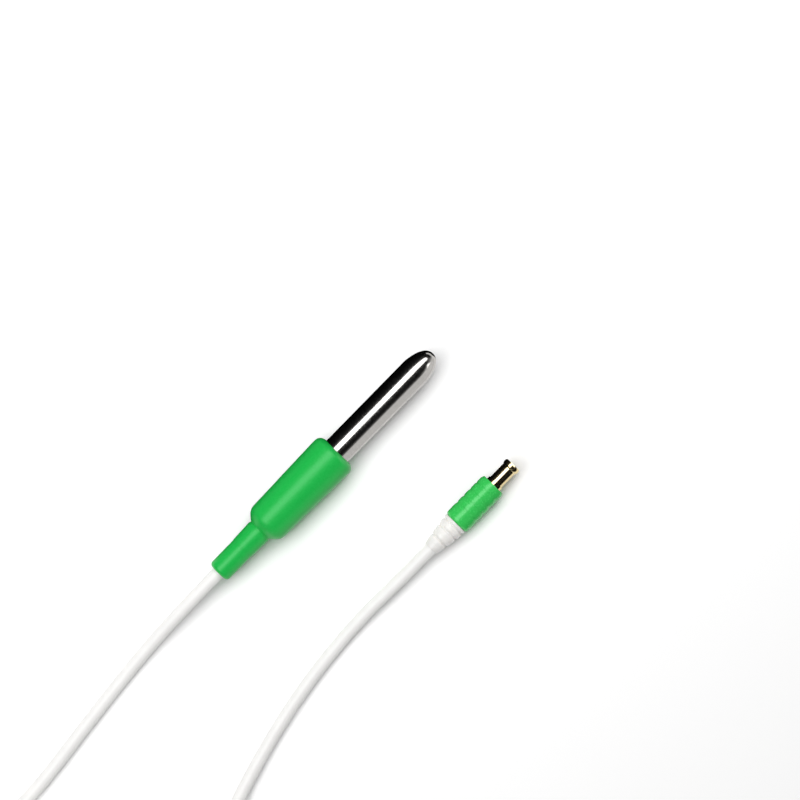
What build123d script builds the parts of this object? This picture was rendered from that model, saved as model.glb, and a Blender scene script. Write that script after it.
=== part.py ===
from build123d import *
import math
import os

# A wired temperature probe as it lies on a table: a closed steel sheath with a thermistor in its tip, a green
# moulded handle, a thin white screened lead, and a small gold plated push-on plug with a ribbed green grip.
# Millimetres. X runs along the probe towards its tip, Z is up and Z = 0 is the table. The origin is on the
# table below the middle of the probe. Most pieces are turned about the probe's or the plug's centre line, so
# their half sections are drawn in a side plane: x along the centre line, y the radius.

# Sheath
sheath_diameter = 6.0
sheath_wall = 0.4
sheath_exposed_length = 27.0
dome_length = 4.9
dome_fullness = 0.8
lock_groove_length = 1.6
lock_groove_depth = 0.18

# Handle
handle_front_diameter = 9.4
handle_rear_diameter = 8.55
handle_body_length = 19.9
handle_rim_length = 2.8
handle_rim_radius = 1.5
shoulder_length = 2.0
shoulder_radius = 1.2
neck_length = 11.6
neck_front_diameter = 5.3
neck_rear_diameter = 4.8
neck_collar_length = 6.7
neck_step = 0.08
neck_end_radius = 0.8

# Lead: jacket, braid, dielectric and core, from the outside in
lead_diameter = 2.6
jacket_wall = 0.3
braid_wall = 0.25
core_diameter = 0.5

# Inside the probe
slip_fit = 0.03
bush_flange_length = 1.2
bush_spigot_length = 3.0
anchor_set_in = 0.5
anchor_length = 3.6
anchor_diameter = 3.9
anchor_collar_length = 0.7
anchor_collar_diameter = 5.4
anchor_gap = 0.6
jacket_stick_out = 0.7
braid_stick_out = 1.2
dielectric_stick_out = 2.2
pigtail_diameter = 0.7
core_bend_length = 2.5
core_bend_radius = 1.0
splice_gap = 3.8
splice_length = 4.5
splice_diameter = 1.3
splice_web = 0.4
shrink_wall = 0.2
shrink_overlap = 1.0
liner_wall = 0.2
liner_gap = 0.3
bead_length = 3.2
bead_diameter = 2.0
bead_tip_gap = 1.2
sensor_wire_diameter = 0.3
sensor_wire_spread = 0.7
sensor_wire_depth = 0.8
sensor_bend_length = 2.2
sensor_bend_radius = 1.0
wire_sleeve_wall = 0.2
potting_length = 9.4

# Plug: where it lies, and its sizes
plug_rear_x = 9.5
plug_y = -26.7
grip_diameter = 5.6
grip_length = 10.6
grip_rear_radius = 0.6
grip_bevel_length = 0.9
grip_bevel_depth = 0.3
rib_groove_count = 4
rib_groove_pitch = 1.84
rib_groove_start = 3.1
rib_groove_width = 1.1
rib_groove_depth = 0.14
boot_length = 7.1
boot_front_diameter = 5.1
boot_tail_diameter = 3.1
boot_bulge_length = 4.6
boot_spigot_length = 2.0
boot_spigot_diameter = 3.9
boot_groove_width = 0.35
boot_groove_depth = 0.4
boot_groove_places = (0.8, 2.4, 4.7)
contact_shoulder_diameter = 3.5
contact_shoulder_length = 0.7
contact_barrel_diameter = 3.1
contact_barrel_length = 3.7
contact_ring_diameter = 3.6
contact_ring_length = 1.2
contact_mouth_diameter = 3.2
contact_bore_diameter = 2.4
contact_flange_diameter = 4.2
contact_flange_length = 2.0
contact_flange_depth = 1.2
contact_bore_step = 0.4
stem_wall = 0.32
braid_flare_length = 0.6
slot_count = 2
slot_width = 0.3
slot_length = 4.0
pin_shank_diameter = 1.2
pin_shank_length = 2.2
pin_tip_diameter = 0.5
pin_recess = 0.6
pin_cup_depth = 1.6
pin_cup_clearance = 0.03
insulator_length = 3.2
ferrule_wall = 0.4
ferrule_jacket_length = 1.0

# Coil of the put-away lead, and its tie
coil_centre_x = -106.1
coil_mean_radius = 15.45
coil_layers = 4
coil_layer_turns = 4
coil_slack = 0.5
coil_top_slack = 1.0
coil_edge_radius = 1.2
coil_stub_length = 13.5
coil_entry_y = -4.3
coil_entry_lift = 0.1
tie_thickness = 0.45
tie_width = 5.0

# Free lead: the straight run at each end, where it lies on the table in between (X and Y), and the share of
# a run that its arcs take
neck_run_length = 8.25
boot_run_length = 7.9
coil_entry_run_length = 7.5
coil_exit_run_length = 8.5
coil_exit_drop = (-68.0, -37.0, 2.4)
probe_side_on_table = ((-51.0, -0.4), (-67.0, -2.0))
plug_side_on_table = ((-52.5, -31.9), (-36.0, -28.1), (-19.0, -26.4))
arc_share = 0.45

# Sizes that follow
sheath_radius = sheath_diameter / 2
sheath_inner_radius = sheath_radius - sheath_wall
lock_groove_radius = sheath_radius - lock_groove_depth
handle_front_radius = handle_front_diameter / 2
handle_rear_radius = handle_rear_diameter / 2
neck_front_radius = neck_front_diameter / 2
neck_rear_radius = neck_rear_diameter / 2
lead_radius = lead_diameter / 2
braid_radius = lead_radius - jacket_wall
dielectric_radius = braid_radius - braid_wall
core_radius = core_diameter / 2
sensor_wire_radius = sensor_wire_diameter / 2
probe_length = neck_length + shoulder_length + handle_body_length + sheath_exposed_length
probe_height = handle_front_radius
plug_height = grip_diameter / 2

# Places along the probe
neck_end_x = -probe_length / 2
neck_step_x = neck_end_x + neck_collar_length
crease_x = neck_end_x + neck_length
body_rear_x = crease_x + shoulder_length
handle_front_x = body_rear_x + handle_body_length
rim_rear_x = handle_front_x - handle_rim_length
lock_groove_rear_x = handle_front_x - lock_groove_length
tip_x = handle_front_x + sheath_exposed_length
dome_start_x = tip_x - dome_length
inner_tip_x = tip_x - sheath_wall
anchor_rear_x = body_rear_x + anchor_set_in
anchor_front_x = anchor_rear_x + anchor_length
bush_rear_x = anchor_front_x + anchor_gap
sheath_rear_x = bush_rear_x + bush_flange_length
bush_front_x = sheath_rear_x + bush_spigot_length
jacket_end_x = bush_front_x + jacket_stick_out
braid_end_x = jacket_end_x + braid_stick_out
dielectric_end_x = jacket_end_x + dielectric_stick_out
splice_rear_x = dielectric_end_x + splice_gap
splice_front_x = splice_rear_x + splice_length
splice_middle_x = (splice_rear_x + splice_front_x) / 2
splice_y = dielectric_radius + pigtail_diameter / 2
bead_front_x = inner_tip_x - bead_tip_gap
bead_rear_x = bead_front_x - bead_length
sensor_bend_x = bead_rear_x - sensor_wire_depth
potting_rear_x = inner_tip_x - potting_length


def side_plane(x, y, z, turn=0.0):
    """Upright plane for half sections: its x runs along X, turned about Z by turn degrees; its y is up."""
    along = math.cos(math.radians(turn))
    across = math.sin(math.radians(turn))
    return Plane(origin=(x, y, z), x_dir=(along, across, 0), z_dir=(across, -along, 0))


def centre_line(side):
    """Axis that a half section in the side plane turns about."""
    return Axis(side.origin, side.x_dir)


probe_side = side_plane(0, 0, probe_height)
plug_side = side_plane(plug_rear_x, plug_y, plug_height)
probe_line = centre_line(probe_side)
plug_line = centre_line(plug_side)


def turned(side, corners):
    """Builder of a piece turned about the side plane's centre line, from its half section's corners."""
    with BuildPart() as piece:
        with BuildSketch(side):
            with BuildLine():
                Polyline(*corners, close=True)
            make_face()
        revolve(axis=centre_line(side))
    return piece


def tube(side, start, end, outer_radius, bore_radius=0.0):
    """Builder of a plain tube, or of a rod when it has no bore, along the side plane's centre line."""
    corners = [(start, bore_radius), (start, outer_radius), (end, outer_radius), (end, bore_radius)]
    return turned(side, corners)


def wire_along(points, bends, radius):
    """Builder of a round wire that follows straight runs joined by tangent arcs."""
    with BuildPart() as piece:
        with BuildLine() as route:
            FilletPolyline(*points, radius=bends)
        with BuildSketch(Plane(origin=route.line @ 0, z_dir=route.line % 0)):
            Circle(radius)
        sweep(path=route.line)
    return piece


def dome_curve(radius, end_x):
    """Half section of the sheath's dome: it starts along the tube and comes round square to the centre line."""
    return Bezier((dome_start_x, radius), (end_x, dome_fullness * radius), (end_x, 0))


os.makedirs("parts", exist_ok=True)


def write(piece, name):
    """Label a finished piece with its node's name and write its file."""
    piece.part.label = name
    export_step(piece.part, f"parts/{name}.step")


# Sheath: drawn tube, closed at the tip, with a turned groove that the handle's mouth locks into
with BuildPart() as sheath:
    with BuildSketch(probe_side):
        with BuildLine():
            Polyline(
                (dome_start_x, sheath_inner_radius),
                (sheath_rear_x, sheath_inner_radius),
                (sheath_rear_x, sheath_radius),
                (lock_groove_rear_x, sheath_radius),
                (lock_groove_rear_x, lock_groove_radius),
                (handle_front_x, lock_groove_radius),
                (handle_front_x, sheath_radius),
                (dome_start_x, sheath_radius),
            )
            dome_curve(sheath_radius, tip_x)
            Line((tip_x, 0), (inner_tip_x, 0))
            dome_curve(sheath_inner_radius, inner_tip_x)
        make_face()
    revolve(axis=probe_line)
write(sheath, "sheath")

# Bush: closes the sheath's rear end and centres the lead in it
bush_bore = lead_radius + slip_fit
bush_spigot_radius = sheath_inner_radius - slip_fit
end_bush = turned(
    probe_side,
    [
        (bush_rear_x, bush_bore),
        (bush_rear_x, sheath_radius),
        (sheath_rear_x, sheath_radius),
        (sheath_rear_x, bush_spigot_radius),
        (bush_front_x, bush_spigot_radius),
        (bush_front_x, bush_bore),
    ],
)
write(end_bush, "end_bush")

# Ferrule crimped on the jacket; its collar locks in the moulding
anchor_ferrule = turned(
    probe_side,
    [
        (anchor_rear_x, lead_radius),
        (anchor_rear_x, anchor_collar_diameter / 2),
        (anchor_rear_x + anchor_collar_length, anchor_collar_diameter / 2),
        (anchor_rear_x + anchor_collar_length, anchor_diameter / 2),
        (anchor_front_x, anchor_diameter / 2),
        (anchor_front_x, lead_radius),
    ],
)
write(anchor_ferrule, "anchor_ferrule")

# Handle: moulded round the sheath, the bush, the ferrule and the lead
with BuildPart() as handle:
    with BuildSketch(probe_side):
        with BuildLine():
            Polyline(
                (neck_end_x, lead_radius),
                (neck_end_x, neck_rear_radius),
                (neck_step_x, neck_rear_radius),
                (neck_step_x, neck_rear_radius + neck_step),
                (crease_x, neck_front_radius),
                (body_rear_x, handle_rear_radius),
                (rim_rear_x, handle_front_radius),
                (handle_front_x, handle_front_radius),
                (handle_front_x, lock_groove_radius),
                (lock_groove_rear_x, lock_groove_radius),
                (lock_groove_rear_x, sheath_radius),
                (bush_rear_x, sheath_radius),
                (bush_rear_x, lead_radius),
                close=True,
            )
        make_face()
    revolve(axis=probe_line)
    rims = handle.edges().filter_by(GeomType.CIRCLE).group_by(Axis.X)
    fillet(rims[-1].sort_by(SortBy.RADIUS)[-1], handle_rim_radius)
    rims = handle.edges().filter_by(GeomType.CIRCLE).group_by(Axis.X)
    fillet(rims[0].sort_by(SortBy.RADIUS)[-1], neck_end_radius)
    rims = handle.edges().filter_by(GeomType.CIRCLE)
    fillet(rims.sort_by(lambda rim: abs(rim.center().X - body_rear_x))[0], shoulder_radius)
    add(anchor_ferrule.part, mode=Mode.SUBTRACT)
write(handle, "handle")

# Layers of the lead inside the probe
handle_cable_jacket = tube(probe_side, neck_end_x, jacket_end_x, lead_radius, braid_radius)
write(handle_cable_jacket, "handle_cable_jacket")

handle_cable_dielectric = tube(probe_side, neck_end_x, dielectric_end_x, dielectric_radius, core_radius)
write(handle_cable_dielectric, "handle_cable_dielectric")

# The braid ends in a twisted pigtail that runs beside the dielectric into its crimp
pigtail_start_x = jacket_end_x + braid_wall
pigtail_end_x = splice_middle_x - splice_web / 2
with BuildPart() as handle_cable_braid:
    with BuildSketch(probe_side):
        with BuildLine():
            Polyline(
                (neck_end_x, dielectric_radius),
                (neck_end_x, braid_radius),
                (braid_end_x, braid_radius),
                (braid_end_x, dielectric_radius),
                close=True,
            )
        make_face()
    revolve(axis=probe_line)
    with BuildSketch(Plane(origin=(pigtail_start_x, -splice_y, probe_height), z_dir=(1, 0, 0))):
        Circle(pigtail_diameter / 2)
    extrude(amount=pigtail_end_x - pigtail_start_x)
write(handle_cable_braid, "handle_cable_braid")

# The core bends over to its own crimp
handle_cable_core = wire_along(
    [
        (neck_end_x, 0, probe_height),
        (dielectric_end_x + core_bend_radius / 2, 0, probe_height),
        (dielectric_end_x + core_bend_radius / 2 + core_bend_length, splice_y, probe_height),
        (splice_middle_x - splice_web / 2, splice_y, probe_height),
    ],
    core_bend_radius,
    core_radius,
)
write(handle_cable_core, "handle_cable_core")


def crimp_at(y, cable_wire_radius):
    """Builder of one crimp tube: pressed to the lead's wire at the rear and to the sensor's wire in front."""
    return turned(
        side_plane(0, y, probe_height),
        [
            (splice_rear_x, cable_wire_radius),
            (splice_rear_x, splice_diameter / 2),
            (splice_front_x, splice_diameter / 2),
            (splice_front_x, sensor_wire_radius),
            (splice_middle_x, sensor_wire_radius),
            (splice_middle_x, cable_wire_radius),
        ],
    )


# Crimps and the shrunk sleeves over them, one pair on each side of the centre line
with BuildPart() as splice_crimps:
    add(crimp_at(splice_y, core_radius).part)
    add(crimp_at(-splice_y, pigtail_diameter / 2).part)
write(splice_crimps, "splice_crimps")

sleeve_rear_x = splice_rear_x - shrink_overlap
sleeve_front_x = splice_front_x + shrink_overlap
splice_radius = splice_diameter / 2
with BuildPart() as splice_sleeves:
    with BuildSketch(Plane(origin=(sleeve_rear_x, 0, probe_height), x_dir=(0, 1, 0), z_dir=(1, 0, 0))):
        with Locations((splice_y, 0), (-splice_y, 0)):
            Circle(splice_radius + shrink_wall)
            Circle(splice_radius, mode=Mode.SUBTRACT)
    extrude(amount=sleeve_front_x - sleeve_rear_x)
write(splice_sleeves, "splice_sleeves")

# Sensor: two wires from the crimps to the glass bead, in sleeves, set in potting that fills the tip
with BuildPart() as thermistor_leads:
    with BuildLine() as sensor_route:
        FilletPolyline(
            (splice_middle_x + splice_web / 2, splice_y, probe_height),
            (sensor_bend_x - sensor_bend_length, splice_y, probe_height),
            (sensor_bend_x, sensor_wire_spread / 2, probe_height),
            (bead_rear_x + sensor_wire_depth, sensor_wire_spread / 2, probe_height),
            radius=sensor_bend_radius,
        )
    with BuildSketch(Plane(origin=sensor_route.line @ 0, z_dir=sensor_route.line % 0)):
        Circle(sensor_wire_radius)
    sweep(path=sensor_route.line)
    mirror(about=Plane.XZ)
write(thermistor_leads, "thermistor_leads")

wire_sleeve_end_x = sensor_bend_x - sensor_bend_length - sensor_bend_radius / 2
with BuildPart() as lead_sleeves:
    with BuildSketch(Plane(origin=(sleeve_front_x, 0, probe_height), x_dir=(0, 1, 0), z_dir=(1, 0, 0))):
        with Locations((splice_y, 0), (-splice_y, 0)):
            Circle(sensor_wire_radius + wire_sleeve_wall)
            Circle(sensor_wire_radius, mode=Mode.SUBTRACT)
    extrude(amount=wire_sleeve_end_x - sleeve_front_x)
write(lead_sleeves, "lead_sleeves")

bead_radius = bead_diameter / 2
with BuildPart() as thermistor_bead:
    with BuildSketch(probe_side):
        with BuildLine():
            CenterArc((bead_front_x - bead_radius, 0), bead_radius, 0, 90)
            Line((bead_front_x - bead_radius, bead_radius), (bead_rear_x + bead_radius, bead_radius))
            CenterArc((bead_rear_x + bead_radius, 0), bead_radius, 90, 90)
            Line((bead_rear_x, 0), (bead_front_x, 0))
        make_face()
    revolve(axis=probe_line)
    wire_end = (bead_rear_x + sensor_wire_depth, 0, probe_height)
    with BuildSketch(Plane(origin=wire_end, x_dir=(0, 1, 0), z_dir=(-1, 0, 0))):
        with Locations((sensor_wire_spread / 2, 0), (-sensor_wire_spread / 2, 0)):
            Circle(sensor_wire_radius)
    extrude(amount=sensor_wire_depth, mode=Mode.SUBTRACT)
write(thermistor_bead, "thermistor_bead")

with BuildPart() as tip_potting:
    with BuildSketch(probe_side):
        with BuildLine():
            Polyline(
                (inner_tip_x, 0),
                (potting_rear_x, 0),
                (potting_rear_x, sheath_inner_radius),
                (dome_start_x, sheath_inner_radius),
            )
            dome_curve(sheath_inner_radius, inner_tip_x)
        make_face()
    revolve(axis=probe_line)
    add(thermistor_bead.part, mode=Mode.SUBTRACT)
    add(thermistor_leads.part, mode=Mode.SUBTRACT)
    add(lead_sleeves.part, mode=Mode.SUBTRACT)
write(tip_potting, "tip_potting")

# Liner: keeps the splices off the steel, from the bush to the potting
liner_radius = sheath_inner_radius - slip_fit
sheath_liner = tube(
    probe_side, bush_front_x + liner_gap, potting_rear_x, liner_radius, liner_radius - liner_wall
)
write(sheath_liner, "sheath_liner")

# Places along the plug, from the grip's rear face
boot_end_x = -boot_length
flange_front_x = grip_length - contact_flange_depth
flange_rear_x = flange_front_x - contact_flange_length
bore_step_x = flange_rear_x + contact_bore_step
shoulder_front_x = grip_length + contact_shoulder_length
barrel_front_x = shoulder_front_x + contact_barrel_length
mouth_x = barrel_front_x + contact_ring_length
plug_jacket_end_x = boot_spigot_length + ferrule_jacket_length
stem_rear_x = plug_jacket_end_x + braid_flare_length
pin_step_x = bore_step_x + pin_shank_length
insulator_front_x = bore_step_x + insulator_length
cup_bottom_x = bore_step_x + pin_cup_depth

# Radii in the plug, from the lead's outwards
stem_bore = dielectric_radius + slip_fit
stem_radius = stem_bore + stem_wall
flare_radius = stem_radius + braid_wall
ferrule_jacket_bore = lead_radius + slip_fit
ferrule_radius = max(flare_radius, ferrule_jacket_bore) + ferrule_wall
contact_bore_radius = contact_bore_diameter / 2
contact_shoulder_radius = contact_shoulder_diameter / 2
contact_flange_radius = contact_flange_diameter / 2
pin_shank_radius = pin_shank_diameter / 2
pin_tip_radius = pin_tip_diameter / 2

# Outer contact: turned brass, a hollow stem at the rear and a springy ring, slotted at its sides, at the mouth
with BuildPart() as outer_contact:
    with BuildSketch(plug_side):
        with BuildLine():
            Polyline(
                (mouth_x, contact_mouth_diameter / 2),
                (mouth_x, contact_bore_radius),
                (bore_step_x, contact_bore_radius),
                (bore_step_x, stem_bore),
                (stem_rear_x, stem_bore),
                (stem_rear_x, stem_radius),
                (flange_rear_x, stem_radius),
                (flange_rear_x, contact_flange_radius),
                (flange_front_x, contact_flange_radius),
                (flange_front_x, contact_shoulder_radius),
                (shoulder_front_x, contact_shoulder_radius),
                (shoulder_front_x, contact_barrel_diameter / 2),
                (barrel_front_x, contact_barrel_diameter / 2),
            )
            ThreePointArc(
                (barrel_front_x, contact_barrel_diameter / 2),
                (barrel_front_x + contact_ring_length / 2, contact_ring_diameter / 2),
                (mouth_x, contact_mouth_diameter / 2),
            )
        make_face()
    revolve(axis=plug_line)
    mouth_centre = (plug_rear_x + mouth_x, plug_y, plug_height)
    with BuildSketch(Plane(origin=mouth_centre, x_dir=(0, 1, 0), z_dir=(1, 0, 0))):
        with PolarLocations(contact_ring_diameter / 2, slot_count):
            Rectangle(contact_ring_diameter, slot_width)
    extrude(amount=-slot_length, mode=Mode.SUBTRACT)
write(outer_contact, "outer_contact")

# Centre pin: a solder cup for the lead's core at the rear, a thin tip set back from the mouth
pin_end_x = mouth_x - pin_recess
cup_radius = core_radius + pin_cup_clearance
with BuildPart() as centre_pin:
    with BuildSketch(plug_side):
        with BuildLine():
            Polyline(
                (bore_step_x, cup_radius),
                (bore_step_x, pin_shank_radius),
                (pin_step_x, pin_shank_radius),
                (pin_step_x, pin_tip_radius),
                (pin_end_x, pin_tip_radius),
                (pin_end_x, 0),
                (cup_bottom_x, 0),
                (cup_bottom_x, cup_radius),
                close=True,
            )
        make_face()
    revolve(axis=plug_line)
    fillet(centre_pin.edges().filter_by(GeomType.CIRCLE).sort_by(Axis.X)[-1], pin_tip_radius / 2)
write(centre_pin, "centre_pin")

contact_insulator = turned(
    plug_side,
    [
        (bore_step_x, pin_shank_radius),
        (bore_step_x, contact_bore_radius),
        (insulator_front_x, contact_bore_radius),
        (insulator_front_x, pin_tip_radius),
        (pin_step_x, pin_tip_radius),
        (pin_step_x, pin_shank_radius),
    ],
)
write(contact_insulator, "contact_insulator")

# Layers of the lead inside the plug: the braid flares over the stem, under the ferrule
plug_cable_jacket = tube(plug_side, boot_end_x, plug_jacket_end_x, lead_radius, braid_radius)
write(plug_cable_jacket, "plug_cable_jacket")

plug_cable_dielectric = tube(plug_side, boot_end_x, bore_step_x, dielectric_radius, core_radius)
write(plug_cable_dielectric, "plug_cable_dielectric")

plug_cable_core = tube(plug_side, boot_end_x, cup_bottom_x, core_radius)
write(plug_cable_core, "plug_cable_core")

braid_front_x = flange_rear_x - braid_wall
plug_cable_braid = turned(
    plug_side,
    [
        (boot_end_x, dielectric_radius),
        (boot_end_x, braid_radius),
        (plug_jacket_end_x, braid_radius),
        (stem_rear_x, flare_radius),
        (braid_front_x, flare_radius),
        (braid_front_x, stem_radius),
        (stem_rear_x, stem_radius),
        (plug_jacket_end_x, dielectric_radius),
    ],
)
write(plug_cable_braid, "plug_cable_braid")

crimp_ferrule = turned(
    plug_side,
    [
        (boot_spigot_length, ferrule_jacket_bore),
        (boot_spigot_length, ferrule_radius),
        (flange_rear_x, ferrule_radius),
        (flange_rear_x, flare_radius),
        (stem_rear_x, flare_radius),
        (plug_jacket_end_x, ferrule_jacket_bore),
    ],
)
write(crimp_ferrule, "crimp_ferrule")

# Grip: moulded round the contact's flange and the ferrule, with shallow ribs and a bevelled front
grip_radius = grip_diameter / 2
with BuildPart() as plug_grip:
    with BuildSketch(plug_side):
        with BuildLine():
            Polyline(
                (0, boot_spigot_diameter / 2),
                (0, grip_radius),
                (grip_length - grip_bevel_length, grip_radius),
                (grip_length, grip_radius - grip_bevel_depth),
                (grip_length, contact_shoulder_radius),
                (flange_front_x, contact_shoulder_radius),
                (flange_front_x, contact_flange_radius),
                (flange_rear_x, contact_flange_radius),
                (flange_rear_x, ferrule_radius),
                (boot_spigot_length, ferrule_radius),
                (boot_spigot_length, boot_spigot_diameter / 2),
                close=True,
            )
        make_face()
    revolve(axis=plug_line)
    rear_edges = plug_grip.edges().filter_by(GeomType.CIRCLE).group_by(Axis.X)[0]
    fillet(rear_edges.sort_by(SortBy.RADIUS)[-1], grip_rear_radius)
    with BuildSketch(plug_side):
        for groove in range(rib_groove_count):
            with Locations((rib_groove_start + groove * rib_groove_pitch, grip_radius)):
                Ellipse(rib_groove_width / 2, rib_groove_depth)
    revolve(axis=plug_line, mode=Mode.SUBTRACT)
write(plug_grip, "plug_grip")


def boot_radius(distance):
    """Outer radius of the boot this far behind the grip: the height of its curve at that place."""
    bend = boot_length - 2 * boot_bulge_length
    share = (math.sqrt(boot_bulge_length**2 + bend * distance) - boot_bulge_length) / bend
    front = boot_front_diameter / 2
    tail = boot_tail_diameter / 2
    return front * (1 - share**2) + tail * share**2


# Boot: soft ringed tail behind the grip, with a spigot inside it
boot_bore = lead_radius + slip_fit
with BuildPart() as plug_boot:
    with BuildSketch(plug_side):
        with BuildLine():
            Bezier(
                (0, boot_front_diameter / 2),
                (-boot_bulge_length, boot_front_diameter / 2),
                (boot_end_x, boot_tail_diameter / 2),
            )
            Polyline(
                (boot_end_x, boot_tail_diameter / 2),
                (boot_end_x, boot_bore),
                (boot_spigot_length, boot_bore),
                (boot_spigot_length, boot_spigot_diameter / 2),
                (0, boot_spigot_diameter / 2),
                (0, boot_front_diameter / 2),
            )
        make_face()
    revolve(axis=plug_line)
    with BuildSketch(plug_side):
        for distance in boot_groove_places:
            with Locations((-distance, boot_radius(distance))):
                Rectangle(boot_groove_width, 2 * boot_groove_depth)
    revolve(axis=plug_line, mode=Mode.SUBTRACT)
write(plug_boot, "plug_boot")

# Coil: the put-away lead lies beyond the probe's rear, layers of turns that nest in each other
layer_rise = lead_diameter * math.sqrt(3) / 2
outer_turn_radius = coil_mean_radius + (coil_layer_turns - 1) / 2 * lead_diameter
top_turn_radius = coil_mean_radius + (coil_layer_turns - 2) / 2 * lead_diameter
top_layer_z = lead_radius + (coil_layers - 1) * layer_rise
coil_centre_y = coil_entry_y - outer_turn_radius
coil_width = coil_layer_turns * lead_diameter + 2 * coil_slack
coil_height = top_layer_z + lead_radius + coil_top_slack
stub_x = coil_centre_x + coil_stub_length
coil_side = side_plane(coil_centre_x, coil_centre_y, 0)
coil_line = Axis((coil_centre_x, coil_centre_y, 0), (0, 0, 1))
entry_point = (stub_x, coil_entry_y, lead_radius + coil_entry_lift)
exit_point = (stub_x, coil_centre_y - top_turn_radius, top_layer_z)

# Tie: a strap round the coil's section at its far side
tie_angle = math.degrees(tie_width / coil_mean_radius)
with BuildPart() as coil_tie:
    with BuildSketch(side_plane(coil_centre_x, coil_centre_y, 0, turn=180 - tie_angle / 2)):
        with Locations((coil_mean_radius, coil_height / 2)):
            RectangleRounded(coil_width, coil_height, coil_edge_radius)
            RectangleRounded(
                coil_width - 2 * tie_thickness,
                coil_height - 2 * tie_thickness,
                coil_edge_radius - tie_thickness,
                mode=Mode.SUBTRACT,
            )
    revolve(axis=coil_line, revolution_arc=tie_angle)
write(coil_tie, "coil_tie")

with BuildPart() as lead_coil:
    with BuildSketch(coil_side):
        with Locations((coil_mean_radius, coil_height / 2)):
            RectangleRounded(coil_width, coil_height, coil_edge_radius)
    revolve(axis=coil_line)
    for stub_end in (entry_point, exit_point):
        with BuildSketch(Plane(origin=stub_end, z_dir=(-1, 0, 0))):
            Circle(lead_radius)
        extrude(amount=coil_stub_length)
    add(coil_tie.part, mode=Mode.SUBTRACT)
write(lead_coil, "lead_coil")


def corner_radii(points):
    """Radius of the arc at each inner point: its share of the shorter run over the tangent of half the turn."""
    radii = []
    for before, corner, after in zip(points, points[1:], points[2:]):
        run_in = Vector(*corner) - Vector(*before)
        run_out = Vector(*after) - Vector(*corner)
        half_turn = math.radians(run_in.get_angle(run_out)) / 2
        radii.append(arc_share * min(run_in.length, run_out.length) / math.tan(half_turn))
    return radii


def lead_tube(points, name):
    """Write a stretch of the free lead as a plain tube, and return its length along the middle."""
    radii = corner_radii(points)
    piece = wire_along(points, radii, lead_radius)
    write(piece, name)
    length = piece.part.volume / (math.pi * lead_radius**2)
    runs = sum((Vector(*b) - Vector(*a)).length for a, b in zip(points, points[1:]))
    print(name, "radii", [round(radius, 1) for radius in radii])
    print(name, "runs", round(runs, 2), "volume over section", round(length, 2))
    return length


# Free lead: out of the neck, down to the table and into the coil; out of the coil's top and into the boot
probe_side_length = lead_tube(
    [
        (neck_end_x, 0, probe_height),
        (neck_end_x - neck_run_length, 0, probe_height),
        *((x, y, lead_radius) for x, y in probe_side_on_table),
        (stub_x + coil_entry_run_length, coil_entry_y, lead_radius + coil_entry_lift),
        entry_point,
    ],
    "lead_probe_side",
)
plug_side_length = lead_tube(
    [
        exit_point,
        (stub_x + coil_exit_run_length, exit_point[1], exit_point[2]),
        coil_exit_drop,
        *((x, y, lead_radius) for x, y in plug_side_on_table),
        (plug_rear_x + boot_end_x - boot_run_length, plug_y, plug_height),
        (plug_rear_x + boot_end_x, plug_y, plug_height),
    ],
    "lead_plug_side",
)

# Every other layer has one turn less; the last turn is a half, because the lead leaves on the other side
short_layers = coil_layers // 2
coil_turns = coil_layers * coil_layer_turns - short_layers - 0.5
coil_length = coil_turns * 2 * math.pi * coil_mean_radius + 2 * coil_stub_length
print("whole lead", round(probe_side_length + plug_side_length + coil_length))
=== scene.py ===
import bpy
import math
import numpy as np
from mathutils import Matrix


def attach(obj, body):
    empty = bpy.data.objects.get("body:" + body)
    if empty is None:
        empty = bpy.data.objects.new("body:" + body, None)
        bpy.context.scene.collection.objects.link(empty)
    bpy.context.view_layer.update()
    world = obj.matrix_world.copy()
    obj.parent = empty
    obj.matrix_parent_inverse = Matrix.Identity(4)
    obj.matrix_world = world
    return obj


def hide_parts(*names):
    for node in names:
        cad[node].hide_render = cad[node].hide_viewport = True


# A wired temperature probe on a white table, seen straight from above. Metres, in the row frame: X runs along the
# probe towards its tip, Z is up, and the table is Z = 0. Sizes below are typed in millimetres and turned by MM.

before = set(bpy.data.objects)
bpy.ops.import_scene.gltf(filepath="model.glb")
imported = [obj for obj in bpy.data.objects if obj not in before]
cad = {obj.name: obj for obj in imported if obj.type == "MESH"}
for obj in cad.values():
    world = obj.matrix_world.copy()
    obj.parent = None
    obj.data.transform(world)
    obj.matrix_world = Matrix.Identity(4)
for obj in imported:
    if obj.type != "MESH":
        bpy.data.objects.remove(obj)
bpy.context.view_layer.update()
MM = 0.001

# Probe, in millimetres along X
PROBE_HEIGHT = 4.7
NECK_END = -30.25
HANDLE_FRONT = 3.25
SHEATH_RADIUS = 3.0
# Plug: its own x starts at the grip's rear face
PLUG_REAR = 9.5
PLUG_Y = -26.7
PLUG_HEIGHT = 2.8
# Lead and its coil
LEAD_DIAMETER = 2.6
LEAD_RADIUS = LEAD_DIAMETER / 2
COIL_CENTRE = (-106.1, -23.65)
COIL_MEAN_RADIUS = 15.45
LAYER_RISE = LEAD_DIAMETER * math.sqrt(3) / 2


def linear(hex_colour):
    """sRGB hex to linear red, green, blue and alpha 1."""
    channels = [int(hex_colour[i : i + 2], 16) / 255 for i in (1, 3, 5)]
    return [c / 12.92 if c <= 0.04045 else ((c + 0.055) / 1.055) ** 2.4 for c in channels] + [1.0]


def add(tree, kind, inputs=None, **settings):
    """Adds a shader node, sets its properties, and gives each input, by name or by number, a value or a link from a
    socket."""
    made = tree.nodes.new(kind)
    for name, value in settings.items():
        setattr(made, name, value)
    for name, value in (inputs or {}).items():
        if isinstance(value, bpy.types.NodeSocket):
            tree.links.new(value, made.inputs[name])
        else:
            made.inputs[name].default_value = value
    return made


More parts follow.
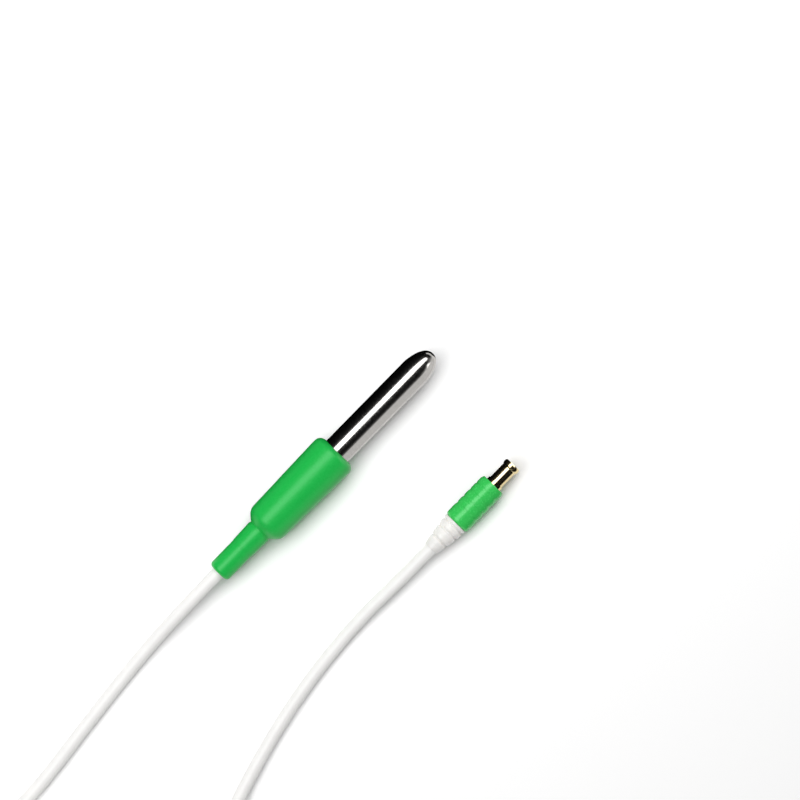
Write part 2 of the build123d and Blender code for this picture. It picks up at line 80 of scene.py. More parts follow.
def put(name, data):
    """A new object with the data, in the scene."""
    made = bpy.data.objects.new(name, data)
    bpy.context.scene.collection.objects.link(made)
    return made


def empty_tree(owner):
    """The node tree of a material or a world, with nothing in it."""
    owner.use_nodes = True
    owner.node_tree.nodes.clear()
    return owner.node_tree


# Camera: straight down, the photograph's right and up lie 45.6 degrees round from X and Y
VIEW_TURN = -45.6
VIEW_CENTRE = (19.14, -1.77)
VIEW_WIDTH = 157.8
CAMERA_DISTANCE = 700.0
SENSOR_WIDTH = 36.0
camera = put("camera", bpy.data.cameras.new("camera"))
camera.location = (VIEW_CENTRE[0] * MM, VIEW_CENTRE[1] * MM, (PROBE_HEIGHT + CAMERA_DISTANCE) * MM)
camera.rotation_euler = (0, 0, math.radians(VIEW_TURN))
camera.data.sensor_width = SENSOR_WIDTH
camera.data.lens = SENSOR_WIDTH * CAMERA_DISTANCE / VIEW_WIDTH
camera.data.clip_start = 0.01
camera.data.clip_end = 20.0
bpy.context.scene.camera = camera

# Lead: out of the neck, down to the table, round the coil and back to the plug's boot. The points are the control
# points of one smooth quadratic spline.
COIL_TURNS = 13.5
POINTS_PER_TURN = 16
# A quadratic spline through a regular polygon's points runs this much inside them
POLYGON_SHRINK = (math.cos(math.pi / POINTS_PER_TURN) + 0.75 + 0.25 * math.cos(2 * math.pi / POINTS_PER_TURN)) / 2
# Slots of the turns in the coil's section, in winding order: radius from the mean, and layer. Layers of four and of
# three turns nest in each other.
FOUR_TURNS = (+3.9, +1.3, -1.3, -3.9)
THREE_TURNS = (-2.6, 0.0, +2.6)
LAYERS = (FOUR_TURNS, THREE_TURNS, FOUR_TURNS, THREE_TURNS)
SLOTS = [(offset, layer) for layer, offsets in enumerate(LAYERS) for offset in offsets]
# Each turn moves over to its next slot between these angles, before the lead comes in at 90 degrees
SHIFT_FROM, SHIFT_TO = 20.0, 72.0
# The strap lies under the turns at 180 degrees, and lifts them by this much there: fully up to the first angle to
# either side, and less and less over the second
TIE_LIFT = 0.45
LIFT_FLAT, LIFT_RAMP = 14.0, 34.0


def smooth_step(share):
    """0 to 1 with flat ends: 3 s^2 - 2 s^3."""
    share = min(max(share, 0.0), 1.0)
    return share * share * (3 - 2 * share)


def coil_point(step):
    """Control point number step of the coil, counted from 90 degrees, anticlockwise seen from above."""
    angle = 90.0 + 360.0 * step / POINTS_PER_TURN
    turn = min(step // POINTS_PER_TURN, len(SLOTS) - 1)
    offset, layer = SLOTS[turn]
    within = (angle - 90.0) % 360.0
    if turn + 1 < len(SLOTS) and within > 270.0:
        share = smooth_step((within - 270.0 - SHIFT_FROM) / (SHIFT_TO - SHIFT_FROM))
        next_offset, next_layer = SLOTS[turn + 1]
        offset += share * (next_offset - offset)
        layer += share * (next_layer - layer)
    # Small steady differences between the turns, as in a coil wound by hand
    offset += 0.05 * math.sin(2.1 * step) + 0.04 * math.sin(0.37 * step + turn)
    radius = (COIL_MEAN_RADIUS + offset) / POLYGON_SHRINK
    lift = TIE_LIFT * (1 - smooth_step((abs(within - 90.0) - LIFT_FLAT) / LIFT_RAMP))
    x = COIL_CENTRE[0] + radius * math.cos(math.radians(angle))
    y = COIL_CENTRE[1] + radius * math.sin(math.radians(angle))
    return (x, y, LEAD_RADIUS + layer * LAYER_RISE + lift)


# The lead enters the coil low and leaves it on top, both along X
STUB_X = COIL_CENTRE[0] + 13.5
INSIDE_X = COIL_CENTRE[0] + 6.0
ENTRY_Y = -4.3
ENTRY_Z = LEAD_RADIUS + 0.1
EXIT_Y = COIL_CENTRE[1] - COIL_MEAN_RADIUS - LEAD_DIAMETER
EXIT_Z = LEAD_RADIUS + 3 * LAYER_RISE
lead_points = [
    (NECK_END, 0.0, PROBE_HEIGHT),
    (-38.5, 0.0, PROBE_HEIGHT),
    (-51.0, -0.4, LEAD_RADIUS),
    (-67.0, -2.0, LEAD_RADIUS),
    (STUB_X + 7.5, ENTRY_Y, ENTRY_Z),
    (STUB_X, ENTRY_Y, ENTRY_Z),
    (INSIDE_X, ENTRY_Y, LEAD_RADIUS),
    *(coil_point(step) for step in range(1, int(COIL_TURNS * POINTS_PER_TURN))),
    (INSIDE_X, EXIT_Y, EXIT_Z),
    (STUB_X, EXIT_Y, EXIT_Z),
    (STUB_X + 8.5, EXIT_Y, EXIT_Z),
    (-68.0, -37.0, 2.4),
    (-52.5, -31.9, LEAD_RADIUS),
    (-36.0, -28.1, LEAD_RADIUS),
    (-19.0, -26.4, LEAD_RADIUS),
    (-5.5, PLUG_Y, PLUG_HEIGHT),
    (2.4, PLUG_Y, PLUG_HEIGHT),
]
lead_curve = bpy.data.curves.new("screened_lead", "CURVE")
lead_curve.dimensions = "3D"
spline = lead_curve.splines.new("NURBS")
spline.points.add(len(lead_points) - 1)
spline.points.foreach_set("co", [v for p in lead_points for v in (p[0] * MM, p[1] * MM, p[2] * MM, 1.0)])
spline.order_u = 3
spline.use_endpoint_u = True
STEPS_PER_POINT = 8
spline.resolution_u = STEPS_PER_POINT
lead_curve.resolution_u = STEPS_PER_POINT
lead_curve.bevel_depth = LEAD_RADIUS * MM
lead_curve.bevel_resolution = 5
lead_curve.use_fill_caps = True
screened_lead = put("screened_lead", lead_curve)


def surface(name, points, poles=False):
    """A mesh from a grid of points, shape (along, around, 3) in millimetres: one face between each two neighbours of
    both parameters, closed on itself both ways. With poles, the first and the last row are one point each instead,
    and close the piece as fans of triangles."""
    along, around, _ = points.shape
    ids = np.arange(along * around).reshape(along, around)
    if poles:
        ids[0], ids[-1] = ids[0, 0], ids[-1, 0]
    used, ids = np.unique(ids, return_inverse=True)
    ids = ids.reshape(along, around)
    beside = np.roll(ids, -1, axis=1)
    rows = np.arange(1, along - 2) if poles else np.arange(along)
    after = (rows + 1) % along
    faces = np.stack([ids[rows], beside[rows], beside[after], ids[after]], axis=2).reshape(-1, 4).tolist()
    if poles:
        faces += np.stack([ids[0], beside[1], ids[1]], axis=1).tolist()
        faces += np.stack([ids[-2], beside[-2], ids[-1]], axis=1).tolist()
    mesh = bpy.data.meshes.new(name)
    mesh.from_pydata((points.reshape(-1, 3)[used] * MM).tolist(), [], faces)
    mesh.polygons.foreach_set("use_smooth", np.ones(len(mesh.polygons), bool))
    return put(name, mesh)


def rounded(profile, spacing, blur):
    """A closed profile walked at even spacing, its corners eased: each point is the mean of its neighbours under a
    bell curve blur wide, so straight runs stay where they are."""
    closed = np.vstack([profile, profile[:1]])
    steps = np.hypot(*np.diff(closed, axis=0).T)
    walked = np.concatenate([[0.0], np.cumsum(steps)])
    count = int(walked[-1] / spacing)
    at = np.linspace(0.0, walked[-1], count, endpoint=False)
    even = np.stack([np.interp(at, walked, closed[:, k]) for k in (0, 1)], axis=1)
    reach = int(3 * blur / spacing) + 1
    bell = np.exp(-0.5 * (np.arange(-reach, reach + 1) * spacing / blur) ** 2)
    bell /= bell.sum()
    padded = np.vstack([even[-reach:], even, even[:reach]])
    return np.stack([np.convolve(padded[:, k], bell, mode="valid") for k in (0, 1)], axis=1)


def arc(centre, radius, start, end, count=9):
    """Points on an arc in a half section, from angle start to end in degrees."""
    angles = np.radians(np.linspace(start, end, count))
    return [(centre[0] + radius * math.cos(a), centre[1] + radius * math.sin(a)) for a in angles]


def turned(name, profile, axis_y, axis_z, around=96, relief=None, poles=False):
    """A closed half section of (x, radius) carried round a line along X: y = r sin a, z = r cos a. Its outside is
    walked towards -X. relief, a function of the angle, adds to the radius on points well away from the line. With
    poles, the half section begins and ends on the line."""
    angle = np.linspace(0.0, 2 * math.pi, around, endpoint=False)
    x = np.repeat(profile[:, :1], around, axis=1)
    radius = np.repeat(profile[:, 1:], around, axis=1)
    if relief is not None:
        radius = radius + relief(angle) * (radius > 0.55 * radius.max())
    points = np.stack([x, axis_y + radius * np.sin(angle), axis_z + radius * np.cos(angle)], axis=2)
    return surface(name, points, poles)


def bend(start, corner, end, count):
    """Points of a quadratic Bezier curve: (1 - t)^2 start + 2 t (1 - t) corner + t^2 end."""
    t = np.linspace(0.0, 1.0, count)[:, None]
    return (1 - t) ** 2 * np.array(start) + 2 * t * (1 - t) * np.array(corner) + t**2 * np.array(end)


PARTING_HEIGHT = 0.035
PARTING_LINE, PARTING_FLAT = 0.045, 0.35


def parting_line(angle):
    """The mould halves meet at the two sides: a fine raised line, a bell curve of the angle from 90 degrees, on a
    wider and equally deep flat, so that it stays within the round."""
    off_side = np.abs(np.abs((angle + math.pi) % (2 * math.pi) - math.pi) - math.pi / 2)
    return PARTING_HEIGHT * (np.exp(-((off_side / PARTING_LINE) ** 2)) - np.exp(-((off_side / PARTING_FLAT) ** 2)))


# Sheath: drawn tube with a closed dome, its outside walked from the tip to the rear, its inside back to the tip. Rows
# close to each corner keep the shading of the long straight wall even. The handle locks into a groove at its mouth.
BORE = 2.6
GROOVE = 2.82
GROOVE_REAR = 1.65
SHEATH_REAR = -10.75
DOME_START = 25.35
DOME_CORNER = 2.4
TIP = 30.25
INNER_CORNER = 2.08
INNER_TIP = 29.85
NEAR = 0.05
outside_x = np.concatenate([np.linspace(DOME_START, HANDLE_FRONT + 0.2, 60), [HANDLE_FRONT + 0.02, HANDLE_FRONT]])
sheath_profile = np.vstack(
    [
        bend((TIP, 0.0), (TIP, DOME_CORNER), (DOME_START, SHEATH_RADIUS), 60)[:-1],
        np.stack([outside_x, np.full_like(outside_x, SHEATH_RADIUS)], axis=1),
        [(x, GROOVE) for x in (HANDLE_FRONT, HANDLE_FRONT - NEAR, GROOVE_REAR + NEAR, GROOVE_REAR)],
        [(x, SHEATH_RADIUS) for x in (GROOVE_REAR, GROOVE_REAR - NEAR, SHEATH_REAR + NEAR, SHEATH_REAR)],
        [(x, BORE) for x in (SHEATH_REAR, SHEATH_REAR + NEAR, DOME_START - 2 * NEAR)],
        bend((DOME_START, BORE), (INNER_TIP, INNER_CORNER), (INNER_TIP, 0.0), 30),
    ]
)
polished_tube = turned("polished_tube", sheath_profile, 0.0, PROBE_HEIGHT, 180, poles=True)

# Handle: one soft moulding, its rim, shoulder, crease and neck end eased as a mould leaves them. Inside it has room
# for the sheath and its bush, and for the ferrule and its collar.
HANDLE_RADIUS = 4.7
FRONT_ROUND = 1.5
NECK_RADIUS = 2.4
NECK_ROUND = 0.8
NECK_STEP = [(-23.65, NECK_RADIUS), (-23.45, 2.48)]
CREASE = [(-18.95, 2.64), (-18.7, 2.5), (-18.5, 2.45), (-18.3, 2.8)]
SHOULDER = arc((-15.85, 1.92), 2.4, 135, 92)
BUSH_REAR = -11.95
FERRULE_FRONT, FERRULE_REAR, FERRULE_RADIUS = -12.55, -15.45, 1.95
COLLAR_REAR, COLLAR_RADIUS = -16.15, 2.7
handle_profile = np.array(
    [(NECK_END, LEAD_RADIUS)]
    + arc((NECK_END + NECK_ROUND, NECK_RADIUS - NECK_ROUND), NECK_ROUND, 180, 90)
    + NECK_STEP
    + CREASE
    + SHOULDER
    + [(0.45, HANDLE_RADIUS)]
    + arc((HANDLE_FRONT - FRONT_ROUND, HANDLE_RADIUS - FRONT_ROUND), FRONT_ROUND, 90, 0)
    + [(HANDLE_FRONT, GROOVE), (GROOVE_REAR, GROOVE), (GROOVE_REAR, SHEATH_RADIUS), (BUSH_REAR, SHEATH_RADIUS)]
    + [(BUSH_REAR, LEAD_RADIUS), (FERRULE_FRONT, LEAD_RADIUS), (FERRULE_FRONT, FERRULE_RADIUS)]
    + [(FERRULE_REAR, FERRULE_RADIUS), (FERRULE_REAR, COLLAR_RADIUS), (COLLAR_REAR, COLLAR_RADIUS)]
    + [(COLLAR_REAR, LEAD_RADIUS)]
)
handle_moulding = turned(
    "handle_moulding", rounded(handle_profile[::-1], 0.12, 0.09), 0.0, PROBE_HEIGHT, 120, parting_line
)

# Boot: soft tail with rounded grooves behind the plug's grip, and a spigot inside the grip
BOOT_LENGTH = 7.1
BOOT_FRONT, BOOT_TAIL = 2.55, 1.55
BOOT_POWER = 1.55
BOOT_GROOVES = (0.8, 2.4, 4.7)
BOOT_GROOVE_DEPTH = 0.34
BOOT_GROOVE_WIDTH = 0.24
BOOT_BORE = 1.33
SPIGOT_LENGTH = 2.0
SPIGOT_RADIUS = 1.95


def boot_outside(distance):
    """Radius behind the grip: falls from BOOT_FRONT to BOOT_TAIL with a power of the distance's share of the length,
    less a bell curve at each groove."""
    share = np.clip(distance / BOOT_LENGTH, 0, 1)
    radius = BOOT_FRONT * (1 - share**BOOT_POWER) + BOOT_TAIL * share**BOOT_POWER
    for place in BOOT_GROOVES:
        radius = radius - BOOT_GROOVE_DEPTH * np.exp(-(((distance - place) / BOOT_GROOVE_WIDTH) ** 2))
    return radius


boot_walk = np.linspace(0.0, BOOT_LENGTH, 120)
boot_profile = np.vstack(
    [
        np.stack([PLUG_REAR - boot_walk, boot_outside(boot_walk)], axis=1),
        [(PLUG_REAR - BOOT_LENGTH, BOOT_BORE), (PLUG_REAR + SPIGOT_LENGTH, BOOT_BORE)],
        [(PLUG_REAR + SPIGOT_LENGTH, SPIGOT_RADIUS), (PLUG_REAR, SPIGOT_RADIUS)],
    ]
)
ringed_boot = turned("ringed_boot", rounded(boot_profile, 0.06, 0.04), PLUG_Y, PLUG_HEIGHT, 80)

# Grip: shallow rounded ribs and a bevelled front, moulded round the contact and its flange
GRIP_LENGTH = 10.6
GRIP_RADIUS = 2.8
GRIP_BORE = 1.75
RIB_GROOVES = 3.1 + 1.84 * np.arange(4)
RIB_GROOVE_HALF = 0.45
RIB_GROOVE_DEPTH = 0.13
REAR_ROUND = 0.6
BEVEL_LENGTH = 0.9
BEVEL_DEPTH = 0.3
CONTACT_FLANGE_REAR, CONTACT_FLANGE_FRONT, CONTACT_FLANGE_RADIUS = 7.4, 9.4, 2.1


def grip_outside(x):
    """Radius along the grip: constant, less a cosine for each groove, a quarter circle at the rear edge, and a bevel
    that falls with the power 1.5 towards the front edge."""
    radius = np.full_like(x, GRIP_RADIUS)
    for place in RIB_GROOVES:
        off = (x - place) / RIB_GROOVE_HALF
        radius = radius - RIB_GROOVE_DEPTH * np.where(np.abs(off) < 1, 0.5 + 0.5 * np.cos(math.pi * off), 0)
    rear = np.clip((REAR_ROUND - x) / REAR_ROUND, 0, 1)
    radius = radius - REAR_ROUND * (1 - np.sqrt(np.clip(1 - rear**2, 0, 1)))
    return radius - BEVEL_DEPTH * np.clip((x - GRIP_LENGTH + BEVEL_LENGTH) / BEVEL_LENGTH, 0, 1) ** 1.5


grip_walk = np.linspace(0.0, GRIP_LENGTH, 220)
grip_profile = np.vstack(
    [
        np.stack([PLUG_REAR + grip_walk, grip_outside(grip_walk)], axis=1),
        [
            (PLUG_REAR + x, radius)
            for x, radius in (
                (GRIP_LENGTH, GRIP_BORE),
                (CONTACT_FLANGE_FRONT, GRIP_BORE),
                (CONTACT_FLANGE_FRONT, CONTACT_FLANGE_RADIUS),
                (CONTACT_FLANGE_REAR, CONTACT_FLANGE_RADIUS),
                (CONTACT_FLANGE_REAR, GRIP_BORE),
                (SPIGOT_LENGTH, GRIP_BORE),
                (SPIGOT_LENGTH, SPIGOT_RADIUS),
                (0.0, SPIGOT_RADIUS),
            )
        ],
    ]
)
ribbed_grip = turned(
    "ribbed_grip", rounded(grip_profile[::-1], 0.07, 0.05), PLUG_Y, PLUG_HEIGHT, 96, parting_line
)

# Strap round the coil: a flat band that follows the bundle's outline. The bundle is four turns wide at its foot, and
# narrower at the top, where it has three.
BAND_WIDTH = 5.0
BAND_THICKNESS = 0.45
FOOT_HALF, TOP_HALF = 5.2, 4.2
SIDE_HEIGHT = 6.9
# The band's edges are rounded over this share of half its width, and thin down by this share of their square
EDGE_SHARE = 0.06
EDGE_THINNING = 0.96


def strap_corners():
    """Corners of the band's middle in the coil's section, as (radius, height), walked once round the bundle."""
    half = BAND_THICKNESS / 2
    inner, outer = COIL_MEAN_RADIUS - FOOT_HALF - half, COIL_MEAN_RADIUS + FOOT_HALF + half
    top = EXIT_Z + LEAD_RADIUS + TIE_LIFT + half
    return np.array(
        [
            (COIL_MEAN_RADIUS, half),
            (outer, half),
            (outer, SIDE_HEIGHT),
            (COIL_MEAN_RADIUS + TOP_HALF, top),
            (COIL_MEAN_RADIUS - TOP_HALF, top),
            (inner, SIDE_HEIGHT),
            (inner, half),
        ]
    )


def strap_surface(name):
    """The band: its outline eased at the corners, thickened to both sides by its own normal, and swept over the
    strap's width round the coil's centre."""
    middle = rounded(strap_corners(), 0.25, 0.5)
    along = np.roll(middle, -1, axis=0) - np.roll(middle, 1, axis=0)
    along /= np.hypot(*along.T)[:, None]
    out = np.stack([along[:, 1], -along[:, 0]], axis=1)
    centre = middle.mean(axis=0)
    if np.sum(out * (middle - centre)) < 0:
        out = -out
    half_turn = BAND_WIDTH / COIL_MEAN_RADIUS / 2
    across = np.linspace(-1, 1, 25)
    past = np.clip(np.abs(across) - (1 - EDGE_SHARE), 0, EDGE_SHARE) / EDGE_SHARE
    thick = BAND_THICKNESS / 2 * np.sqrt(1 - EDGE_THINNING * past**2)
    outer = middle[:, None, :] + out[:, None, :] * thick[None, :, None]
    inner = middle[:, None, :] - out[:, None, :] * thick[None, ::-1, None]
    section = np.concatenate([outer, inner], axis=1)
    turn = math.pi + half_turn * np.concatenate([across, across[::-1]])
    x = COIL_CENTRE[0] + section[:, :, 0] * np.cos(turn)
    y = COIL_CENTRE[1] + section[:, :, 0] * np.sin(turn)
    return surface(name, np.stack([x, y, section[:, :, 1]], axis=2))


strap = strap_surface("strap")


# Values between which nearly all of the noise lies
NOISE_LOW, NOISE_HIGH = 0.3, 0.7


def finish(name, tones, gloss, cell, depth, stretch=(1, 1, 1), weave=0.0, **shader_values):
    """A procedural surface. A noise with cells `cell` mm wide, closer together by stretch along X, Y and Z, runs the
    colour between two sRGB tones, the roughness between two values and the height over depth mm. With weave, in mm,
    two sets of ridges that far apart cross at right angles, and the height and the tones follow them instead."""
    made = bpy.data.materials.new(name)
    tree = empty_tree(made)
    place = add(tree, "ShaderNodeTexCoord")
    placed = add(tree, "ShaderNodeMapping", {"Vector": place.outputs["Object"], "Scale": stretch})
    noise = add(
        tree,
        "ShaderNodeTexNoise",
        {"Vector": placed.outputs["Vector"], "Scale": 1 / (cell * MM), "Detail": 3.0, "Roughness": 0.55},
    )
    height = noise.outputs["Fac"]
    if weave:
        threads = []
        for turn in (45, -45):
            laid = add(
                tree,
                "ShaderNodeMapping",
                {"Vector": place.outputs["Object"], "Rotation": (math.radians(35), 0, math.radians(turn))},
            )
            # A wave texture's band repeats every 2 pi / 20 at scale 1
            ridges = add(
                tree,
                "ShaderNodeTexWave",
                {"Vector": laid.outputs["Vector"], "Scale": math.pi / 10 / (weave * MM), "Distortion": 0.4},
            )
            threads.append(ridges.outputs["Fac"])
        crossed = add(tree, "ShaderNodeMath", {0: threads[0], 1: threads[1]}, operation="MAXIMUM")
        height = crossed.outputs["Value"]
    low, high = (0.0, 1.0) if weave else (NOISE_LOW, NOISE_HIGH)
    share = add(tree, "ShaderNodeMapRange", {"Value": height, "From Min": low, "From Max": high})
    mixed = {"Factor": share.outputs["Result"], "A": linear(tones[0]), "B": linear(tones[1])}
    colour = add(tree, "ShaderNodeMix", mixed, data_type="RGBA")
    spread = {"From Min": NOISE_LOW, "From Max": NOISE_HIGH, "To Min": gloss[0], "To Max": gloss[1]}
    rough = add(tree, "ShaderNodeMapRange", {"Value": noise.outputs["Fac"], **spread})
    bump = add(tree, "ShaderNodeBump", {"Height": height, "Strength": 1.0, "Distance": depth * MM})
    inputs = {"Base Color": colour.outputs["Result"], "Roughness": rough.outputs["Result"]}
    inputs["Normal"] = bump.outputs["Normal"]
    inputs.update({socket.replace("_", " "): value for socket, value in shader_values.items()})
    shader = add(tree, "ShaderNodeBsdfPrincipled", inputs)
    add(tree, "ShaderNodeOutputMaterial", {"Surface": shader.outputs["BSDF"]})
    return made


# Stainless steel tube, polished on a wheel: sharp mirror bands, hardly softened by fine lines that run round it. Real
# polishing lines are a few hundredths of a millimetre apart; here they are 0.15 mm.
polished_stainless = finish(
    "polished_stainless_tube", ("#C8C5C1", "#D2CFCB"), (0.14, 0.20), 1.2, 0.0003, (8, 1, 1), Metallic=1.0
)

# Thermoplastic elastomer from a fine spark-eroded mould: deep satin green with one broad soft shine. The mould's
# grain of a few hundredths of a millimetre is drawn 0.35 mm wide.
satin_green = finish(
    "moulded_elastomer_satin_green", ("#14B546", "#1BBC4C"), (0.32, 0.40), 0.35, 0.0012,
    Specular_IOR_Level=0.7, Specular_Tint=(0.55, 1.0, 0.68, 1.0),
)

# The same compound from a smoother mould on the plug's grip: brighter, and its ribs catch the light
gloss_green = finish(
    "moulded_elastomer_gloss_green", ("#36C656", "#3ECE5E"), (0.20, 0.30), 0.5, 0.0008,
    Specular_IOR_Level=0.8, Specular_Tint=(0.6, 1.0, 0.7, 1.0),
)

# Extruded PVC jacket: clean satin white, with the faint lengthwise unevenness that the extruder leaves
white_pvc = finish("extruded_white_pvc", ("#F4F3F1", "#F8F7F5"), (0.34, 0.42), 2.5, 0.003)

# Soft polyethylene, moulded: milky white, because light goes a millimetre into it
milky_boot = finish(
    "moulded_milky_polyethylene", ("#F3F0EC", "#F8F5F1"), (0.24, 0.32), 1.6, 0.002,
    Subsurface_Weight=0.35, Subsurface_Radius=(0.0012, 0.0011, 0.0010), Subsurface_Scale=1.0,
)

# Turned brass with gold plating: a warm mirror with turning lines round the axis. Real lines are 0.05 mm apart, here
# 0.13 mm.
gold_plate = finish(
    "gold_plated_turned_brass", ("#EED8A2", "#F6E2B2"), (0.14, 0.22), 0.9, 0.0006, (7, 1, 1), Metallic=1.0
)

# Knitted elastic: matt grey, its rows 0.9 mm apart
grey_elastic = finish(
    "knitted_grey_elastic", ("#2E2E32", "#5A5A60"), (0.75, 0.9), 0.6, 0.09, weave=0.9, Sheen_Weight=0.2
)

# Tinned copper screen: bright crossing strands, bundles 0.5 mm apart
tinned_copper = finish(
    "braided_tinned_copper", ("#8C8D90", "#C9CACC"), (0.25, 0.4), 0.4, 0.06, weave=0.5, Metallic=1.0
)

# Extruded natural polyethylene round the core: waxy, bluish white
polyethylene = finish("extruded_natural_polyethylene", ("#DADDDF", "#E6E9EA"), (0.3, 0.4), 1.2, 0.002)

# Bare copper drawn through a die: warm metal with lengthwise lines
copper = finish("drawn_copper_wire", ("#C27B4E", "#D68F62"), (0.2, 0.3), 0.3, 0.001, (0.1, 1, 1), Metallic=1.0)

# Brass tubes, barrel plated with nickel: even satin metal with a yellow tinge
nickel_tube = finish("nickel_plated_tube", ("#B5B3AC", "#C8C6C0"), (0.2, 0.3), 0.7, 0.001, Metallic=1.0)

# Nickel wire drawn through a die: grey metal with lengthwise lines
nickel_wire = finish("drawn_nickel_wire", ("#A9A79F", "#BDBBB3"), (0.2, 0.35), 0.3, 0.001, (0.1, 1, 1), Metallic=1.0)

# Polyolefin tube, shrunk on with hot air: black, slightly wrinkled
black_shrink = finish("heat_shrunk_black_polyolefin", ("#18181A", "#232326"), (0.35, 0.5), 0.6, 0.01)

# Fluoropolymer, machined from rod: slippery plain white
fluoropolymer = finish("machined_white_fluoropolymer", ("#E9E9E7", "#F0F0EE"), (0.35, 0.45), 0.7, 0.001, (6, 1, 1))

# Glass, fused round the thermistor: grey green, half clear, with flow lines
bead_glass = finish(
    "fused_bead_glass", ("#93A08F", "#A9B5A4"), (0.03, 0.06), 1.1, 0.002, Transmission_Weight=0.5
)

# Filled epoxy, cast in the tip: dark grey, glossy, mottled by its filler
cast_epoxy = finish("cast_filled_epoxy", ("#2A2826", "#3F3C39"), (0.2, 0.3), 0.4, 0.002)

# Polyimide film wound to a tube: clear amber gloss
amber_film = finish("wound_amber_polyimide", ("#B5701F", "#C98530"), (0.12, 0.2), 0.8, 0.001, (3, 1, 1))

# Natural nylon, turned: cream, with fine turning lines
natural_nylon = finish("turned_natural_nylon", ("#D8D2BF", "#E4DFCE"), (0.35, 0.45), 0.7, 0.002, (6, 1, 1))

# Each CAD node's finish
finishes = {
    polished_stainless: ["sheath"],
    satin_green: ["handle"],
    gloss_green: ["plug_grip"],
    white_pvc: ["lead_probe_side", "lead_coil", "lead_plug_side", "handle_cable_jacket", "plug_cable_jacket"],
    gold_plate: ["outer_contact", "centre_pin"],
    milky_boot: ["plug_boot"],
    grey_elastic: ["coil_tie"],
    tinned_copper: ["handle_cable_braid", "plug_cable_braid"],
    polyethylene: ["handle_cable_dielectric", "plug_cable_dielectric"],
    copper: ["handle_cable_core", "plug_cable_core"],
    nickel_tube: ["anchor_ferrule", "crimp_ferrule", "splice_crimps"],
    nickel_wire: ["thermistor_leads"],
    black_shrink: ["splice_sleeves"],
    fluoropolymer: ["contact_insulator", "lead_sleeves"],
    bead_glass: ["thermistor_bead"],
    cast_epoxy: ["tip_potting"],
    amber_film: ["sheath_liner"],
    natural_nylon: ["end_bush"],
}
for coat, names in finishes.items():
    for name in names:
        slots = cad[name].data.materials
        slots.clear()
        slots.append(coat)

# New pieces: finish, the record's slot, and the CAD nodes each stands for
for piece, coat, slot, replaced in (
    (screened_lead, white_pvc, "white_jacket", ["lead_probe_side", "lead_coil", "lead_plug_side"]),
    (polished_tube, polished_stainless, "polished_steel", ["sheath"]),
    (handle_moulding, satin_green, "green_moulding", ["handle"]),
    (ringed_boot, milky_boot, "white_boot", ["plug_boot"]),
    (ribbed_grip, gloss_green, "green_moulding", ["plug_grip"]),
    (strap, grey_elastic, "grey_strap", ["coil_tie"]),
):
    piece.data.materials.append(coat)
    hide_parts(*replaced)
    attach(piece, "root")


def card(name, corners, shader):
    """A flat four-sided card of the studio, its corners in millimetres."""
    mesh = bpy.data.meshes.new(name)
    mesh.from_pydata((np.array(corners) * MM).tolist(), [], [(0, 1, 2, 3)])
    mesh.materials.append(shader)
    made = put(name, mesh)
    return made


# Table: matt paint, whiter for the camera than for the light that it throws back, so that it is white in the picture
# away from the shadows
TABLE_SEEN = 1.07
TABLE_LIGHT_BACK = 0.9
TABLE_HALF = 3000
table_paint = bpy.data.materials.new("matt_white_table")
tree = empty_tree(table_paint)
seen = add(tree, "ShaderNodeLightPath")
two_whites = {"Value": seen.outputs["Is Camera Ray"], "To Min": TABLE_LIGHT_BACK, "To Max": TABLE_SEEN}
whiteness = add(tree, "ShaderNodeMapRange", two_whites)
paint = add(tree, "ShaderNodeBsdfDiffuse", {"Color": whiteness.outputs["Result"]})
add(tree, "ShaderNodeOutputMaterial", {"Surface": paint.outputs["BSDF"]})
card("table", [(TABLE_HALF * x, TABLE_HALF * y, 0) for x, y in ((-1, -1), (1, -1), (1, 1), (-1, 1))], table_paint)

# Cards close beside the polished pieces, never seen by the camera and clear from behind. Black ones give the metal
# its dark edge, and the mouldings the darker edge on the same side. Pale ones stand where the metal is pale.
def one_sided(name, level):
    """A card's surface that glows evenly at a level, where 1 is white and 0 is black, and is clear from behind."""
    made = bpy.data.materials.new(name)
    tree = empty_tree(made)
    side = add(tree, "ShaderNodeNewGeometry")
    glow = add(tree, "ShaderNodeEmission", {"Strength": level})
    clear = add(tree, "ShaderNodeBsdfTransparent")
    front_or_back = {"Fac": side.outputs["Backfacing"], 1: glow.outputs["Emission"], 2: clear.outputs["BSDF"]}
    either = add(tree, "ShaderNodeMixShader", front_or_back)
    add(tree, "ShaderNodeOutputMaterial", {"Surface": either.outputs["Shader"]})
    return made


BLACK_CARD = one_sided("black_card", 0.0)
GREY_CARD = one_sided("grey_card", 0.72)
WHITE_CARD = one_sided("white_card", 2.5)


def reflector(name, corners, face, for_matt=False):
    """A card for reflections, its corners anticlockwise seen from its front; for_matt shows it to matt pieces too."""
    made = card(name, corners, face)
    made.visible_camera = False
    made.visible_diffuse = for_matt
    made.visible_shadow = False
    made.visible_transmission = False


ABOVE_TABLE = 0.02


def lying(name, x_from, x_to, y_from, y_to):
    """A black card just above the table, its front up."""
    corners = [(x_from, y_from), (x_to, y_from), (x_to, y_to), (x_from, y_to)]
    reflector(name, [(*corner, ABOVE_TABLE) for corner in corners], BLACK_CARD, for_matt=True)


def standing(name, start, end, height, face, foot=0.0):
    """An upright card from start to end, each an X and Y, foot to height above the table; its front is on the right
    on the way."""
    reflector(name, [(*start, foot), (*end, foot), (*end, height), (*start, height)], face)


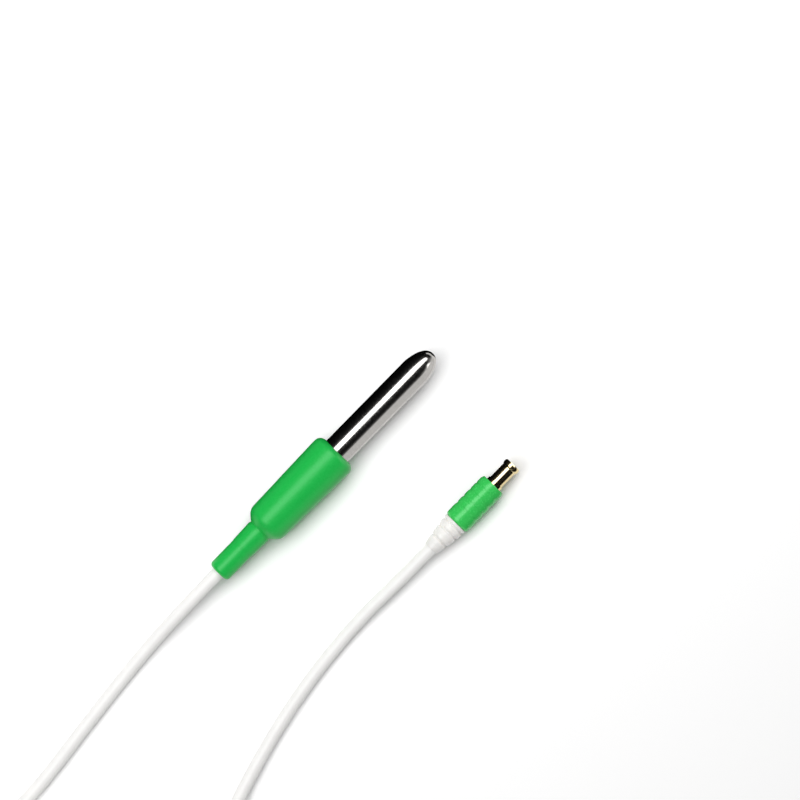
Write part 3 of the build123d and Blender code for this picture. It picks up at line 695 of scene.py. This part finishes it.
lying("black_beside_probe", -29.0, 30.0, 0.4, 14.0)
lying("black_before_tip", 30.0, 48.0, -2.4, 14.0)
standing("black_behind_probe", (-29.0, 14.0), (48.0, 14.0), 18.6, BLACK_CARD)
standing("grey_before_probe", (48.0, -9.0), (-29.0, -9.0), 12.0, GREY_CARD)
lying("black_beside_plug", 9.6, 34.0, PLUG_Y + 0.3, PLUG_Y + 7.0)
standing("black_before_plug", (34.0, PLUG_Y - 4.0), (9.6, PLUG_Y - 4.0), 7.0, BLACK_CARD, 3.9)
standing("black_behind_plug", (9.6, PLUG_Y + 7.0), (38.0, PLUG_Y + 7.0), 9.5, BLACK_CARD)
standing("white_beyond_plug", (45.0, PLUG_Y + 12.0), (45.0, PLUG_Y - 12.0), 26.0, WHITE_CARD)

# Softbox: from the upper left of the picture, it gives the white band along the metal and the soft shadows
SOFTBOX_HEIGHT = 450.0
SOFTBOX_Y = (6.0, 300.0)
SOFTBOX_X = (-450.0, 650.0)
SOFTBOX_RADIANCE = 3.25
softbox_data = bpy.data.lights.new("softbox", "AREA")
softbox_data.shape = "RECTANGLE"
softbox_data.size = (SOFTBOX_X[1] - SOFTBOX_X[0]) * MM
softbox_data.size_y = (SOFTBOX_Y[1] - SOFTBOX_Y[0]) * MM
softbox_data.energy = SOFTBOX_RADIANCE * math.pi * softbox_data.size * softbox_data.size_y
softbox = put("softbox", softbox_data)
softbox.location = (sum(SOFTBOX_X) / 2 * MM, sum(SOFTBOX_Y) / 2 * MM, SOFTBOX_HEIGHT * MM)
softbox.visible_camera = False

# World: white for the camera, an even fill for matt surfaces, and for reflections a dark room whose far wall on
# the shadow side brightens towards the table
world = bpy.data.worlds.new("studio")
bpy.context.scene.world = world
tree = empty_tree(world)
FILL = 0.3
WALL_FOOT = 0.8
path = add(tree, "ShaderNodeLightPath")
direction = add(tree, "ShaderNodeTexCoord")
axes = add(tree, "ShaderNodeSeparateXYZ", {"Vector": direction.outputs["Generated"]})
upwards = {"Value": axes.outputs["Z"], "From Max": 0.7, "To Min": WALL_FOOT, "To Max": 0.0}
low_wall = add(tree, "ShaderNodeMapRange", upwards)
sideways = {"Value": axes.outputs["Y"], "From Min": -0.45, "From Max": 0.0, "To Min": 1.0, "To Max": 0.0}
shadow_side = add(tree, "ShaderNodeMapRange", sideways)
both = {0: low_wall.outputs["Result"], 1: shadow_side.outputs["Result"]}
wall = add(tree, "ShaderNodeMath", both, operation="MULTIPLY")
fill_or_wall = {"Factor": path.outputs["Is Glossy Ray"], "A": FILL, "B": wall.outputs["Value"]}
unseen = add(tree, "ShaderNodeMix", fill_or_wall)
unseen_or_white = {"Factor": path.outputs["Is Camera Ray"], "A": unseen.outputs["Result"], "B": 1.0}
level = add(tree, "ShaderNodeMix", unseen_or_white)
background = add(tree, "ShaderNodeBackground", {"Color": (1, 1, 1, 1), "Strength": level.outputs["Result"]})
add(tree, "ShaderNodeOutputWorld", {"Surface": background.outputs["Background"]})

bpy.context.scene.view_settings.view_transform = "Standard"
